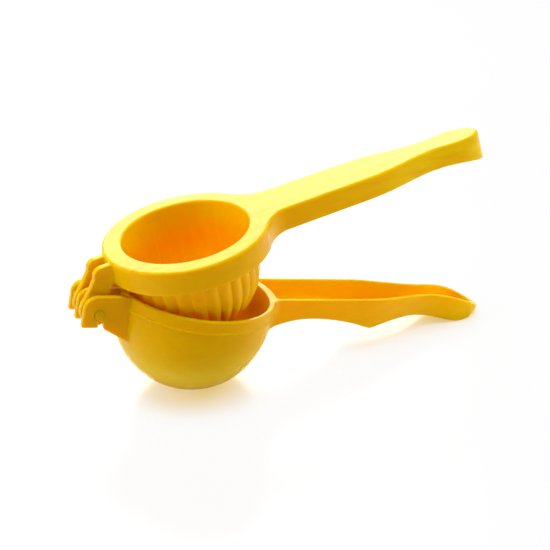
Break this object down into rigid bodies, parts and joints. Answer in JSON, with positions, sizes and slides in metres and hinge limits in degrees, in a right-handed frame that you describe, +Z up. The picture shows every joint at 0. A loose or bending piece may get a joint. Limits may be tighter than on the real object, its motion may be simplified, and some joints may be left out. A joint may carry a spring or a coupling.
{
  "type": "hinged lemon squeezer",
  "caption": "Hand-held citrus press: a bowl with drain holes and a fluted press cup, each on a long handle, hinged together by a pin behind the bowl.",
  "frame": {"origin": "middle of the bounding box in X and Y, on the table the squeezer stands on", "axes": "+X from the hinge along the handles to their tips, +Y across the handles to the left as seen from the hinge, +Z up from the table"},
  "size_m": [0.2198, 0.0764, 0.103],
  "materials": {
    "half_plastic": "injection-moulded glossy lemon-yellow plastic",
    "pin_plastic": "smooth moulded plastic in the same yellow"
  },
  "bodies": {
    "lower": {"lower_half": "half_plastic", "hinge_pin": "pin_plastic"},
    "upper": {"upper_half": "half_plastic"}
  },
  "joints": [
    {"name": "press_hinge", "type": "hinge", "parent": "lower", "child": "upper", "pos_m": [-0.10165, 0, 0.05081], "axis": [0, -1, 0], "range_deg": [-22, 98]}
  ]
}
